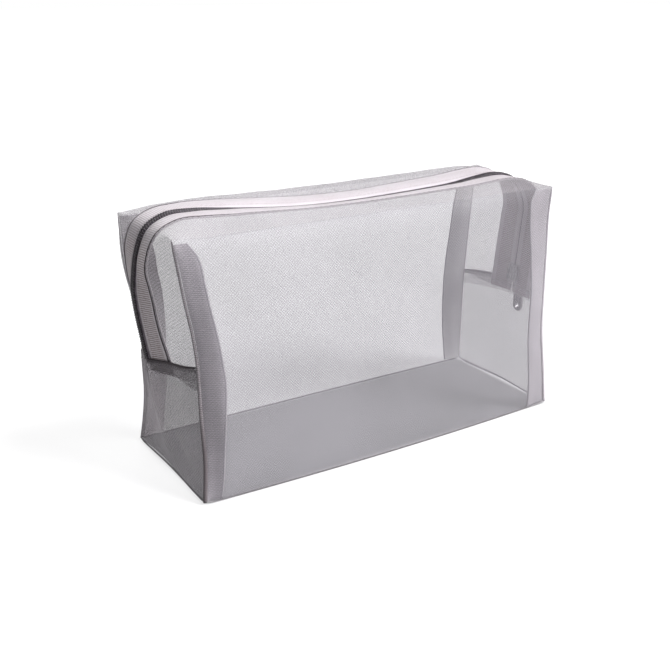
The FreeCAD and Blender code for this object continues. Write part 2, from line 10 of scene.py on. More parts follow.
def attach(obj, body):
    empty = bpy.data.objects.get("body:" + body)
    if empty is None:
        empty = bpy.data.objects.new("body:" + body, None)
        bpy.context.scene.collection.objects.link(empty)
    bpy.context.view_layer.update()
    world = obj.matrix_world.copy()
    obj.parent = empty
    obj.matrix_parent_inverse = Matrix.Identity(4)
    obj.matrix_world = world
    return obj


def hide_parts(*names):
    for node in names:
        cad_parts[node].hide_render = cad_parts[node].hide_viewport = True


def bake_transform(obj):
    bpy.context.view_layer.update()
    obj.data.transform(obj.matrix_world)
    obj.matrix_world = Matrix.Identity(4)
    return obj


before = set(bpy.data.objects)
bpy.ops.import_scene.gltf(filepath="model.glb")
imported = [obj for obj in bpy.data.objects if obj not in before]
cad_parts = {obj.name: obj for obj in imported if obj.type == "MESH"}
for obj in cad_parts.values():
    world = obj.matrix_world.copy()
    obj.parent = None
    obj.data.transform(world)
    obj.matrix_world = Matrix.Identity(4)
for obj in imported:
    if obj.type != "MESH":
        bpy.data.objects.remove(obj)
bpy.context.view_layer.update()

# ---- sizes, in millimetres
MM = 0.001
LEFT, RIGHT = -1, 1
FRONT, BACK = -1, 1
END_NAME = {LEFT: "left", RIGHT: "right"}
SIDE_NAME = {FRONT: "front", BACK: "back"}
CLOTH, TAPE, BINDING, COIL_BED_THICK = 0.2, 0.55, 0.9, 0.25  # thicknesses
FOLD_Y, FOLD_Z = 32.5, 132.5  # the line that a lip turns about
TAPE_HALF = 16.0  # from the middle of the zip to the folded edge of the net
TAPE_TUCK = 1.4  # how far the tape goes on under the net
CORNER_TOP = {
    (LEFT, FRONT): (-121.3, -33.6, 134.2),
    (LEFT, BACK): (-121.7, 33.8, 133.2),
    (RIGHT, FRONT): (114.4, -33.8, 132.6),
    (RIGHT, BACK): (114.8, 33.6, 134.4),
}
CORNER_FOOT = {
    (LEFT, FRONT): (-115.0, -43.0, 1.5),
    (LEFT, BACK): (-115.4, 41.2, 1.3),
    (RIGHT, FRONT): (113.8, -42.6, 1.3),
    (RIGHT, BACK): (114.8, 41.2, 1.3),
}
FLOOR_GAP = 0.4  # height of the lower edges where they rest
END_ARCH = 1.3  # how much higher the bottom edge of an end is at its middle
HEM_RISE = 0.9  # of the dark cord, a painted shadow, above the hem's line
COIL_PITCH, COIL_WIRE = 1.32, 0.29  # from turn to turn, and half the wire's thickness
CORNER_SEAM = {  # how each corner seam wanders on its way up: heights, and x there
    (LEFT, FRONT): (
        [0.4, 22, 45, 71, 87, 103, 116, 134.2],
        [-115.2, -113.2, -113.3, -113.1, -114.4, -117.0, -118.8, -121.3],
    ),
    (LEFT, BACK): (
        [0.4, 10, 25, 48, 66, 84, 98, 108, 133.2],
        [-115.4, -113.9, -112.3, -112.3, -112.7, -115.2, -118.8, -120.2, -121.7],
    ),
    (RIGHT, FRONT): ([0.4, 21, 52, 66, 94, 120, 132.6], [113.8, 112.5, 110.4, 110.9, 111.9, 112.6, 114.4]),
    (RIGHT, BACK): ([0.4, 30, 60, 89, 113, 134.4], [114.8, 112.9, 111.7, 112.1, 113.0, 114.8]),
}
TALL_BELLY = 8.0  # how far a tall panel bulges out
FOOT_BULGE = {FRONT: 3.2, BACK: 1.0}  # of the bottom edge of each tall panel, at its middle
RIBBON = {  # the ribbon over each corner seam: heights, and its width there
    (LEFT, FRONT): (
        [0, 28, 45, 62, 78, 95, 112, 127, 132],
        [8.4, 8.8, 10.4, 11.3, 10.6, 10.3, 10.4, 9.4, 6.6],
    ),
    (LEFT, BACK): ([0, 20, 45, 74, 96, 108, 122, 132], [13.5, 14.0, 15.4, 16.5, 18.2, 18.4, 15.0, 9.0]),
    (RIGHT, FRONT): ([0, 40, 70, 95, 118, 128, 132], [15.2, 15.4, 14.4, 15.4, 16.0, 14.6, 11.0]),
    (RIGHT, BACK): ([0, 40, 70, 95, 118, 128, 132], [11.4, 12.6, 12.8, 12.2, 11.8, 11.0, 8.0]),
}
BED_WIDTH = {FRONT: 2.9, BACK: 3.9}  # of the sewn bed under each side of the coil
# the straight line that the slider runs on, at the right end
SLIDE_X, SLIDE_Z, SLIDE_LEAN = 121.0, 64.0, math.tan(math.radians(5.5))


def slide_x(z):
    """x on that line at height z."""
    return SLIDE_X + SLIDE_LEAN * (z - SLIDE_Z)


# The middle line of the zip, up the left end, over the top and down the right end (x, z).
RIDGE = [
    (-121.4, 54), (-125.4, 78), (-127.4, 92), (-128.2, 102), (-127.3, 111), (-125.3, 121),
    (-119.8, 132.2), (-110.3, 137.0), (-97, 137.6), (-78, 136.1), (-61, 134.3), (-46, 132.8),
    (-30, 131.7), (-11, 131.2), (8, 131.2), (25, 131.5), (40, 131.9), (55, 132.4), (70, 133.1),
    (87, 134.7), (98, 135.3), (108.5, 133.8), (117, 128.6), (122.8, 120.8),
    (slide_x(112) - 0.15, 112), *[(slide_x(z), z) for z in (106, 100, 89, 78, 66, 54)],
]
# soft pulls in the cloth that run in from the corners: start, far end, width and depth
TALL_CREASES = [
    ((-118, 128), (-78, 92), 7.0, 0.8),
    ((113, 127), (74, 96), 7.0, 0.8),
    ((-112, 4), (-84, 34), 6.0, -0.6),
    ((112, 4), (82, 38), 6.0, -0.6),
    ((-40, 128), (-20, 84), 10.0, -0.5),
    ((40, 126), (58, 70), 12.0, 0.5),
]
END_CREASES = [((-40, 3), (-6, 34), 5.0, -1.0), ((40, 3), (10, 40), 5.0, 1.1), ((30, 40), (4, 22), 4.5, -0.7)]
# height of the lower panel's top edge, its slope across, and how far it drops at the back seam
HEM = {LEFT: (64.2, -0.155, 3.2), RIGHT: (65.4, -0.03, 0.0)}


# ---- small tools
def unit(v):
    """Directions of length 1."""
    return v / np.maximum(np.linalg.norm(v, axis=-1, keepdims=True), 1e-9)


def smooth(a, b, x):
    """0 below a, 1 above b, and a soft step between."""
    t = np.clip((x - a) / (b - a), 0, 1)
    return t * t * (3 - 2 * t)


def cubic(a, ta, b, tb, t):
    """From a to b as t goes from 0 to 1. It leaves with the tangent ta and arrives with tb."""
    return (
        a * (1 + 2 * t) * (1 - t) ** 2
        + ta * t * (1 - t) ** 2
        + b * t * t * (3 - 2 * t)
        - tb * t * t * (1 - t)
    )


def through(knots, values, at):
    """A smooth curve through values at the knots."""
    k, v = np.asarray(knots, float), np.asarray(values, float)
    slope = np.gradient(v, k, axis=0)
    i = np.clip(np.searchsorted(k, at, side="right") - 1, 0, len(k) - 2)
    h = k[i + 1] - k[i]
    t = (at - k[i]) / h
    if v.ndim > 1:
        t, h = t[:, None], h[:, None]
    return cubic(v[i], slope[i] * h, v[i + 1], slope[i + 1] * h, t)


def looked_up(at, where, rows):
    """The rows of a table at other places than where they are given."""
    return np.stack([np.interp(at, where, column) for column in rows.T], axis=-1)


def lengths(points):
    """How far along a line each of its points is."""
    steps = np.linalg.norm(np.diff(points, axis=0), axis=1)
    return np.concatenate([[0], np.cumsum(steps)])


def ripple(points, size, seed):
    """Soft unevenness of cloth, from -1 to 1."""
    shift = Vector((seed * 17.3, seed * 5.1, -seed * 9.7))
    values = [noise.noise(Vector(p) / size + shift) for p in points.reshape(-1, 3)]
    return np.array(values).reshape(points.shape[:-1])


def grid_normals(grid, outward):
    """Unit normals of a grid of points, on the side that outward points to."""
    n = unit(np.cross(np.gradient(grid, axis=0), np.gradient(grid, axis=1)))
    return -n if np.dot(n.reshape(-1, 3).mean(0), outward) < 0 else n


# ---- meshes
def new_object(name, verts, faces, material, weave=None):
    """A smooth-shaded mesh. weave is the place in the cloth, in millimetres, that its material reads."""
    mesh = bpy.data.meshes.new(name)
    mesh.from_pydata((np.asarray(verts) * MM).tolist(), [], [list(map(int, f)) for f in faces])
    mesh.update()
    if weave is not None:
        attribute = mesh.attributes.new("weave", "FLOAT_VECTOR", "POINT")
        attribute.data.foreach_set("vector", np.asarray(weave, np.float32).ravel())
    mesh.polygons.foreach_set("use_smooth", [True] * len(mesh.polygons))
    mesh.materials.append(material)
    obj = bpy.data.objects.new(name, mesh)
    bpy.context.scene.collection.objects.link(obj)
    return obj


def grid_faces(n, m, start, flip):
    """The squares between n lines of m points."""
    i, j = np.meshgrid(np.arange(n - 1), np.arange(m - 1), indexing="ij")
    a = start + (i * m + j).ravel()
    quads = np.stack([a, a + 1, a + m + 1, a + m], axis=1)
    return quads[:, ::-1] if flip else quads


def edged(values):
    """The same grid with one more line of points close to each edge, so that it shades evenly up to there."""
    near = 0.04  # of the way to the next line
    for axis in (0, 1):
        v = np.moveaxis(values, axis, 0)
        first, last = v[:1] + (v[1:2] - v[:1]) * near, v[-1:] + (v[-2:-1] - v[-1:]) * near
        values = np.moveaxis(np.concatenate([v[:1], first, v[1:-1], last, v[-1:]]), 0, axis)
    return values


def shell(name, grid, outward, weave, material, thick=CLOTH):
    """A thin closed piece of cloth. grid is its outer face, and weave its points' places in the cloth."""
    normals = edged(grid_normals(grid, outward))
    grid, weave = edged(grid), edged(weave)
    n, m = grid.shape[:2]
    inner = grid - normals * thick
    verts = np.concatenate([grid.reshape(-1, 3), inner.reshape(-1, 3)])
    order = np.cross(grid[1, 0] - grid[0, 0], grid[0, 1] - grid[0, 0])
    flip = np.dot(order, normals[0, 0]) > 0
    count = n * m
    ring = list(range(m)) + [i * m + m - 1 for i in range(1, n)]
    ring += [(n - 1) * m + j for j in range(m - 2, -1, -1)] + [i * m for i in range(n - 2, 0, -1)]
    ring = np.array(ring)
    after = np.roll(ring, -1)
    sides = np.stack([ring, after, after + count, ring + count], axis=1)
    sides = sides if flip else sides[:, ::-1]
    faces = np.concatenate([grid_faces(n, m, 0, flip), grid_faces(n, m, count, not flip), sides])
    flat = weave.reshape(-1, 2)
    flat = np.column_stack([flat, np.zeros(len(flat))])
    return new_object(name, verts, faces, material, np.concatenate([flat, flat]))


def weave_of(grid, zero=None):
    """Distances along and across a grid, measured on the cloth itself. zero is the row to measure from."""
    rows, columns = grid.shape[:2]
    steps = [np.linalg.norm(np.diff(grid, axis=k), axis=2) for k in (0, 1)]
    along = np.concatenate([np.zeros((1, columns)), np.cumsum(steps[0], axis=0)])
    across = np.concatenate([np.zeros((rows, 1)), np.cumsum(steps[1], axis=1)], axis=1)
    along = along - (along.mean(0, keepdims=True) if zero is None else along[zero])
    return np.stack([along, across], axis=2)


def ring_angles(sides):
    """The angles of the corners of a ring."""
    return np.arange(sides) * 2 * math.pi / sides


def rings(points, side, up, radius, sides, flatten=1.0):
    """A ring of points round each point of a line."""
    c, s = (f(ring_angles(sides))[None, :, None] for f in (np.cos, np.sin))
    ring = side[:, None, :] * c + up[:, None, :] * s * flatten
    return (points[:, None, :] + ring * radius[:, None, None]).reshape(-1, 3)


def ring_faces(count, sides, closed=False):
    """The skin over a row of rings of points. It has a cap at each end unless it is closed in a loop."""
    i, j = np.meshgrid(np.arange(count if closed else count - 1), np.arange(sides), indexing="ij")
    here, there, turn = i * sides, (i + 1) % count * sides, (j + 1) % sides
    quads = np.stack([here + j, there + j, there + turn, here + turn], axis=2).reshape(-1, 4)
    caps = [] if closed else [range(sides), range(count * sides - 1, (count - 1) * sides - 1, -1)]
    return [*quads.tolist(), *caps]


def frames_along(points, up, closed):
    """Side and up directions at each point of a line."""
    if closed:
        tangent = unit(np.roll(points, -1, axis=0) - np.roll(points, 1, axis=0))
    else:
        tangent = unit(np.gradient(points, axis=0))
    side = unit(np.cross(tangent, up))
    return side, unit(np.cross(side, tangent))


def tube(name, points, radius, material, up, sides=8, flatten=1.0, closed=False):
    """A round or flattened cord along points."""
    count = len(points)
    radius = np.broadcast_to(radius, (count,))
    side, up = frames_along(points, up, closed)
    verts = rings(points, side, up, radius, sides, flatten)
    around = np.tile(ring_angles(sides), count) * radius.mean()
    weave = np.stack([np.repeat(lengths(points), sides), around, np.zeros(count * sides)], axis=1)
    return new_object(name, verts, ring_faces(count, sides, closed), material, weave)


def joined(name, objects):
    """Several meshes made into one piece."""
    bpy.ops.object.select_all(action="DESELECT")
    for o in objects:
        o.select_set(True)
    bpy.context.view_layer.objects.active = objects[0]
    bpy.ops.object.join()
    objects[0].name = objects[0].data.name = name
    return objects[0]


def stitches(name, line, normals, material, length=2.4, gap=0.7, radius=0.17):
    """A row of thread stitches on a line that lies on the cloth."""
    along = lengths(line)
    starts = np.arange(gap, along[-1] - length, length + gap)
    verts, faces, weave = [], [], []
    # places along a stitch, how high its middle is there, and how thick it is
    shape = np.array([0.0, 0.12, 0.35, 0.65, 0.88, 1.0])
    lift = np.array([-0.9, 0.35, 0.8, 0.8, 0.35, -0.9]) * radius
    thick = np.array([0.55, 0.95, 1.0, 1.0, 0.95, 0.55]) * radius
    sides = 6
    for s in starts:
        at = s + shape * length
        p, n = looked_up(at, along, line), unit(looked_up(at, along, normals))
        side = unit(np.cross(unit(np.gradient(p, axis=0)), n))
        base = len(verts)
        verts.extend(rings(p + n * lift[:, None], side, n, thick, sides))
        weave.extend([(a, 0, 0) for a in np.repeat(at, sides)])
        faces += [[base + k for k in f] for f in ring_faces(len(shape), sides)]
    return new_object(name, np.array(verts), faces, material, np.array(weave))


# ---- the lines that the cloth follows
KNOTS_AT = lengths(np.array(RIDGE, float))
RIDGE_LINE = through(KNOTS_AT, RIDGE, np.linspace(0, KNOTS_AT[-1], 4000))
RIDGE_AT = lengths(RIDGE_LINE)


def ridge_at(r):
    """Points and outward directions on the middle line of the zip, at distances r along it."""
    step = 0.4
    p, ahead, behind = (looked_up(at, RIDGE_AT, RIDGE_LINE) for at in (r, r + step, r - step))
    t = unit(ahead - behind)
    zero = np.zeros(len(r))
    return np.stack([p[:, 0], zero, p[:, 1]], 1), np.stack([-t[:, 1], zero, t[:, 0]], 1)


def nearest(x, z):
    """How far along the middle line of the zip its point nearest to x, z is."""
    return RIDGE_AT[np.argmin(np.hypot(RIDGE_LINE[:, 0] - x, RIDGE_LINE[:, 1] - z))]


# how far along it the zip turns from an end to the top
R_LEFT, R_RIGHT = nearest(-119.6, 132.2), nearest(117.8, 127.9)
R_MIDDLE = nearest(0, 130)


def seam_at(end, side, z):
    """The corner seam, as points at heights z."""
    foot, top = np.array(CORNER_FOOT[end, side]), np.array(CORNER_TOP[end, side])
    t = (z - foot[2]) / (top[2] - foot[2])
    p = foot + (top - foot) * t[:, None]
    p[:, 0] = through(*CORNER_SEAM[end, side], z)
    p[:, 1] -= side * 0.8 * np.sin(math.pi * np.clip(t, 0, 1))
    return p


def edge_between(a, b, u):
    """A bottom edge from corner a to corner b. It comes up in a small curve at each corner."""
    a, b = np.array(a), np.array(b)
    p = a + (b - a) * u[:, None]
    size = np.linalg.norm(b - a) / 2.4  # length of the edge, in lengths of that curve
    near = np.exp(-((u * size) ** 2)), np.exp(-(((1 - u) * size) ** 2))
    p[:, 2] = FLOOR_GAP + (a[2] - FLOOR_GAP) * near[0] + (b[2] - FLOOR_GAP) * near[1]
    return p


def foot_at(side, u):
    """The bottom edge of a tall panel, from left to right."""
    p = edge_between(CORNER_FOOT[LEFT, side], CORNER_FOOT[RIGHT, side], u)
    p[:, 1] += side * FOOT_BULGE[side] * np.sin(math.pi * u) ** 0.8
    return p


def fold_at(side, x):
    """The line where the net turns from a tall panel to the top."""
    a, b = CORNER_TOP[LEFT, side], CORNER_TOP[RIGHT, side]
    reach = 19  # how far from a corner the fold leaves its straight line
    near_a, near_b = 1 - smooth(0, reach, x - a[0]), 1 - smooth(0, reach, b[0] - x)
    y = side * FOLD_Y + near_a * (a[1] - side * FOLD_Y) + near_b * (b[1] - side * FOLD_Y)
    z = FOLD_Z + near_a * (a[2] - FOLD_Z) + near_b * (b[2] - FOLD_Z)
    return np.stack([x, y, z], axis=1)


def border_at(side, r):
    """The outer edge of the cloth beside the zip: up a corner seam, along the fold, down the other."""
    left, right = CORNER_TOP[LEFT, side], CORNER_TOP[RIGHT, side]
    x = left[0] + (right[0] - left[0]) * (r - R_LEFT) / (R_RIGHT - R_LEFT)
    top = fold_at(side, np.clip(x, left[0], right[0]))
    up = seam_at(LEFT, side, left[2] - (R_LEFT - np.minimum(r, R_LEFT)))
    down = seam_at(RIGHT, side, right[2] - (np.maximum(r, R_RIGHT) - R_RIGHT))
    out = np.where((r < R_LEFT)[:, None], up, top)
    return np.where((r > R_RIGHT)[:, None], down, out)


def tape_edge_at(side, r):
    """Where the net is folded over the zip tape."""
    p, n = ridge_at(r)
    at = [R_LEFT - step for step in (80, 62, 52, 42, 33, 26, 20, 12)]
    at += [R_LEFT + step for step in (0, 14, 30, 54, 78, 106, 132, 158, 180, 205)]
    at += [R_RIGHT + step for step in (-14, 0, 14, 28, 62, 80)]
    rise = {  # how far it is outside the middle line of the zip there
        FRONT: [-5.4, -4.4, -3.5, -3.0, -2.6, -0.9, 1.2, 2.2]
        + [2.0, 1.4, 0.9, 2.0, 3.0, 3.5, 3.4, 3.1, 2.6, 1.7]
        + [0.7, 0.5, -0.3, -0.9, -1.4, -1.6],
        BACK: [-5.8, -5.2, -4.9, -4.7, -3.8, -2.4, -1.2, 0.2]
        + [0.6, 0.6, 1.4, 2.2, 2.6, 2.2, 1.8, 2.2, 2.4, 2.4]
        + [1.8, 0.9, -0.3, -0.9, -1.4, -1.6],
    }
    d = through(at, rise[side], r)
    edge = p + n * d[:, None]
    edge[:, 1] = side * TAPE_HALF
    return edge


def on_top(r):
    """1 on the top of the bag, 0 on its ends, and soft round the corners."""
    return smooth(R_LEFT - 9, R_LEFT + 10, r) * (1 - smooth(R_RIGHT - 10, R_RIGHT + 9, r))


def zip_hidden(r):
    """1 where the tapes bulge up beside the coil on the top of the bag, and 0 where it stands proud."""
    return smooth(R_LEFT + 12, R_LEFT + 55, r) * (1 - smooth(R_RIGHT - 62, R_RIGHT - 22, r))


def strip_grid(side, r, count=18):
    """The net between a tall panel or corner seam and the zip tape."""
    border, edge = border_at(side, r), tape_edge_at(side, r)
    ridge, normal = ridge_at(r)
    top = on_top(r)[:, None]
    chord = edge - border
    reach = np.linalg.norm(chord, axis=1, keepdims=True)
    middle = smooth(R_LEFT - 8, R_LEFT + 50, r) * (1 - smooth(R_RIGHT - 50, R_RIGHT + 8, r))
    # the net comes up from the fold and over to the tape, more steeply in the middle of the back
    rise = np.full(len(r), 10.0) if side == FRONT else 7.0 + 13.0 * middle
    zero = np.zeros(len(r))
    leave_top = np.stack([zero, zero - side * 9.0, rise], axis=1)
    out = np.where(r < (R_LEFT + R_RIGHT) / 2, -6.0, 6.0)
    leave_end = chord + np.stack([out, zero, zero], axis=1)
    leave = leave_end * (1 - top) + leave_top * top
    arrive = unit(ridge - edge) * reach * 0.8
    t = np.linspace(0, 1, count) ** 1.35
    grid = cubic(*(x[:, None, :] for x in (border, leave, edge, arrive)), t[None, :, None])
    soft = ripple(grid, 16.0, 3 + side)[..., None] * 0.35
    hold = (np.sin(math.pi * t) ** 0.7)[None, :, None]
    return grid + normal[:, None, :] * soft * hold


def tape_grid(side, r, count=9):
    """The visible woven tape, from under the coil to under the folded net."""
    inner, normal = ridge_at(r)
    inner[:, 1] = side * 0.7
    edge = tape_edge_at(side, r)
    far = edge + unit(edge - inner) * TAPE_TUCK - normal * 0.32
    t = np.linspace(0, 1, count)[None, :, None]
    grid = inner[:, None, :] * (1 - t) + far[:, None, :] * t
    high = 0.3 + 0.9 * zip_hidden(r)[:, None, None]
    return grid + normal[:, None, :] * high * np.sin(math.pi * t**0.8)


# ---- the tall panels
def side_panel_grid(side, columns=150, rows=84):
    """The front or back panel, as columns of points from its foot to the fold."""
    left, right = CORNER_TOP[LEFT, side], CORNER_TOP[RIGHT, side]
    u, v = np.linspace(0, 1, columns), np.linspace(0, 1, rows)
    u = u - 0.035 * np.sin(2 * math.pi * u)  # closer together near the edges
    v = v - 0.04 * np.sin(2 * math.pi * v)
    top = fold_at(side, left[0] + (right[0] - left[0]) * u)
    grid = foot_at(side, u)[:, None, :] * (1 - v[None, :, None]) + top[:, None, :] * v[None, :, None]
    for end, weight in ((LEFT, (1 - u) ** 3), (RIGHT, u**3)):
        a, b = np.array(CORNER_FOOT[end, side]), np.array(CORNER_TOP[end, side])
        bow = seam_at(end, side, a[2] + (b[2] - a[2]) * v) - (a + (b - a) * v[:, None])
        grid += bow[None] * weight[:, None, None]
    reach = (right[0] - left[0]) * 0.5 * (1 - np.abs(2 * u - 1))  # from the nearer corner seam
    near = np.where(u < 0.5, 13.5, 18.0)  # the left corners turn more sharply
    share = np.where(u < 0.5, 0.8, 0.68)
    across = share * np.sin(np.clip(reach / near, 0, 1) * math.pi / 2) + (1 - share) * smooth(8, 60, reach)
    height = np.sin(math.pi * v**0.82) ** 0.5
    belly = TALL_BELLY * across[:, None] * height[None, :]
    below = (1 - v) * 133.0  # how far below the fold, in millimetres
    turn = 1.5 * (1 - np.exp(-below / 2.4)) * v**1.5
    grid[..., 1] += side * (belly + turn[None, :] * (0.35 + 0.65 * across[:, None]))
    pulls = creases(grid[..., 0], grid[..., 2], TALL_CREASES)
    hold = (np.sin(math.pi * u) ** 0.5)[:, None] * (np.sin(math.pi * v) ** 0.5)[None, :]
    soft = ripple(grid, 30.0, 11 + side) * 0.7 + ripple(grid, 12.0, 5 + side) * 0.18
    grid[..., 1] += side * hold * (pulls + soft)
    return grid


def creases(x, z, lines):
    """Height of some soft creases. Each fades towards its far end."""
    total = 0.0
    for (ax, az), (bx, bz), width, depth in lines:
        dx, dz = bx - ax, bz - az
        span = math.hypot(dx, dz)
        along = ((x - ax) * dx + (z - az) * dz) / span**2
        off = ((x - ax) * dz - (z - az) * dx) / span
        fade = smooth(-0.15, 0.12, along) * (1 - smooth(0.35, 1.1, along))
        total = total + depth * np.exp(-((off / width) ** 2)) * fade
    return total


def on_grid(grid, x, z):
    """y of a tall panel at x and z."""
    columns, rows = grid.shape[:2]
    at = np.interp(z, grid[columns // 2, :, 2], np.arange(rows))
    low = np.clip(np.floor(at).astype(int), 0, rows - 2)
    part = at - low
    y0, y1 = (
        np.array([np.interp(at_x, grid[:, k, 0], grid[:, k, 1]) for at_x, k in zip(x, row)])
        for row in (low, low + 1)
    )
    return y0 * (1 - part) + y1 * part


# ---- the ends
def hem_height(end, y):
    """Height of the lower end panel's top edge."""
    base, slope, drop = HEM[end]
    return base + slope * y - drop * np.clip(np.asarray(y) / FOLD_Y, 0, 1) ** 2


def end_rows(end):
    """The cloth and tape of one end as lines that run up it, from the front seam to the back seam."""
    r = np.linspace(0, R_LEFT - 20, 60) if end == LEFT else np.linspace(RIDGE_AT[-1], R_RIGHT + 20, 60)
    rows = []
    for side in (FRONT, BACK):
        strip = strip_grid(side, r)
        tape = tape_grid(side, r)[:, -3::-1]  # without the part under the net
        lines = np.concatenate([strip, tape], axis=1)
        rows.append(lines if side == FRONT else lines[:, ::-1])
    return np.concatenate(rows, axis=1)


def hem_line(end, count):
    """The outline of one end at the height of its hem."""
    columns = np.moveaxis(end_rows(end), 1, 0)
    line = [looked_up(0, p[:, 2] - hem_height(end, p[:, 1]), p) for p in columns]
    return resample(np.array(line), count)


def outward_2d(line, end):
    """Level directions out of the bag at each point of a line across one end."""
    t = np.gradient(line, axis=0)
    n = unit(np.stack([t[:, 1], -t[:, 0], np.zeros(len(t))], axis=1))
    return n * np.sign(n[:, :1].mean() * end)


def resample(line, count):
    """The same line with its points evenly spaced."""
    at = lengths(line)
    return looked_up(np.linspace(0, at[-1], count), at, line)


def lower_end_grid(end, columns=64, rows=46):
    """The lower end panel with its top edge rolled over to the inside, and without that edge."""
    hem = hem_line(end, columns)
    w = np.linspace(0, 1, columns)
    away = outward_2d(hem, end)
    clear = 1.35 - 1.1 * np.abs(2 * w - 1) ** 4  # between the hem and the zip's cloth
    top = hem + away * clear[:, None]
    foot = edge_between(CORNER_FOOT[end, FRONT], CORNER_FOOT[end, BACK], w)
    foot[:, 2] += END_ARCH * np.sin(math.pi * w) ** 2
    foot[:, 0] += end * (0.9 * np.sin(2 * math.pi * w) - 0.7 * np.sin(math.pi * w))
    v = np.linspace(0, 1, rows)
    swell = 1 - (1 - v) ** 1.5
    x = foot[:, None, 0] * (1 - swell) + top[:, None, 0] * swell
    yz = foot[:, None, 1:] * (1 - v[:, None]) + top[:, None, 1:] * v[:, None]
    grid = np.concatenate([x[..., None], yz], axis=2)
    for side, k, weight in ((FRONT, 0, (1 - w) ** 4), (BACK, -1, w**4)):
        seam = seam_at(end, side, grid[k, :, 2])
        seam += away[k] * 0.5 * v[:, None]
        grid += (seam - grid[k])[None] * weight[:, None, None]
    pulls = creases(grid[..., 1], grid[..., 2], END_CREASES)
    level = np.sin(math.pi * np.minimum(v * 1.02, 1)) ** 0.5
    hold = (np.sin(math.pi * w) ** 0.6)[:, None] * level[None, :]
    soft = ripple(grid, 18.0, 21 + end) * 0.7
    grid[..., 0] += end * hold * (pulls + soft)
    # the rolled edge, and the turned-in allowance behind it
    radius, depth = 0.42, 1.6
    turns = np.linspace(0, math.pi, 7)[1:]
    edge = grid[:, -1]
    roll = [
        edge + away * radius * (np.cos(t) - 1) + np.array([0, 0, radius * 1.2 * math.sin(t)]) for t in turns
    ]
    back = [roll[-1] - np.array([0, 0, d]) for d in np.linspace(0, depth, 5)[1:]]
    return np.concatenate([grid, np.stack(roll + back, axis=1)], axis=1), grid


def base_grid(columns=120, rows=44):
    """The base, with a little unevenness, between the bottom edges of the tall panels."""
    u, w = np.linspace(0, 1, columns), np.linspace(0, 1, rows)
    ww = w[None, :, None]
    grid = foot_at(FRONT, u)[:, None, :] * (1 - ww) + foot_at(BACK, u)[:, None, :] * ww
    x, y = grid[..., 0], grid[..., 1]
    inside = (np.sin(math.pi * u) ** 0.5)[:, None] * (np.sin(math.pi * w) ** 0.5)[None, :]
    lift = 0.5 + 0.5 * ripple(grid, 26.0, 31) + 0.3 * np.cos(x / 38.0) * np.cos(y / 26.0)
    grid[..., 2] += np.clip(lift, 0, 2) * inside - 0.15
    ends = np.abs(2 * u - 1) ** 20
    grid[..., 2] += (ends[:, None] * np.sin(math.pi * w)[None, :] ** 2) * END_ARCH
    return grid


# ---- materials
def linear(r, g, b):
    """A colour given as 0 to 255 on screen."""
    out = []
    for c in (r, g, b):
        c /= 255
        out.append(c / 12.92 if c <= 0.04045 else ((c + 0.055) / 1.055) ** 2.4)
    return (*out, 1)


def toned(shade, factor):
    """A shade made darker or lighter. factor is one number, or one for each channel."""
    return (*np.minimum(np.array(shade[:3]) * factor, 1).tolist(), 1)


class Nodes:
    """A short way to write the node tree of a material or a world."""

    def __init__(self, name, kind="Material"):
        self.owner = getattr(bpy.data, kind.lower() + "s").new(name)
        self.owner.use_nodes = True
        self.tree = self.owner.node_tree
        self.tree.nodes.clear()
        self.output = self.tree.nodes.new("ShaderNodeOutput" + kind)

    def add(self, kind, out=0, settings=None, **inputs):
        """A new node's output. Its inputs are given by name, or by number as i0, i1 and so on."""
        node = self.tree.nodes.new(kind)
        for key, value in (settings or {}).items():
            setattr(node, key, value)
        for key, value in inputs.items():
            socket = node.inputs[int(key[1:]) if key[1:].isdigit() else key.replace("_", " ")]
            if isinstance(value, bpy.types.NodeSocket):
                self.tree.links.new(value, socket)
            else:
                socket.default_value = value
        return node.outputs[out]

    def math(self, operation, a, b=0.0):
        return self.add("ShaderNodeMath", 0, {"operation": operation}, i0=a, i1=b)

    def weave(self):
        """The place in the cloth in millimetres, and how far that is along it and across it."""
        place = self.add("ShaderNodeAttribute", 1, {"attribute_name": "weave"})
        return place, *self.split(place)[:2]

    def split(self, place):
        """Its x, y and z."""
        return self.add("ShaderNodeSeparateXYZ", Vector=place).node.outputs

    def height(self):
        """How high a point is, in metres."""
        return self.split(self.add("ShaderNodeTexCoord", 3))[2]

    def noise(self, place, scale, detail=2.0, rough=0.5, stretch=None):
        """Cloudy unevenness, from 0 to 1."""
        if stretch:
            place = self.add("ShaderNodeMapping", Vector=place, Scale=stretch)
        return self.add("ShaderNodeTexNoise", Vector=place, Scale=scale, Detail=detail, Roughness=rough)

    def between(self, value, low, high, to_low=0.0, to_high=1.0, kind="SMOOTHSTEP"):
        """to_low up to low, to_high from high on, and a soft step between."""
        limits = {"From_Min": low, "From_Max": high, "To_Min": to_low, "To_Max": to_high}
        return self.add("ShaderNodeMapRange", 0, {"interpolation_type": kind}, Value=value, **limits)

    def mix(self, factor, a, b, blend="MIX"):
        settings = {"data_type": "RGBA", "blend_type": blend}
        return self.add("ShaderNodeMix", 2, settings, i0=factor, i6=a, i7=b)

    def wave(self, value, pitch):
        """0 at the middle of each thread and 1 midway between threads. pitch is in millimetres."""
        part = self.math("FRACT", self.math("DIVIDE", value, pitch))
        return self.math("MULTIPLY", self.math("ABSOLUTE", self.math("SUBTRACT", part, 0.5)), 2.0)

    def bump(self, height, distance, strength):
        return self.add("ShaderNodeBump", Height=height, Distance=distance, Strength=strength)

    def skin(self, colour, rough, **inputs):
        return self.add("ShaderNodeBsdfPrincipled", Base_Color=colour, Roughness=rough, **inputs)

    def over(self, share, under, top):
        """Two shaders in one. share is how much of it is top."""
        return self.add("ShaderNodeMixShader", i0=share, i1=under, i2=top)

    def finish(self, surface):
        self.tree.links.new(surface, self.output.inputs["Surface"])
        return self.owner


NET_PITCH = 1.19
NET_ANGLE = math.radians(44)


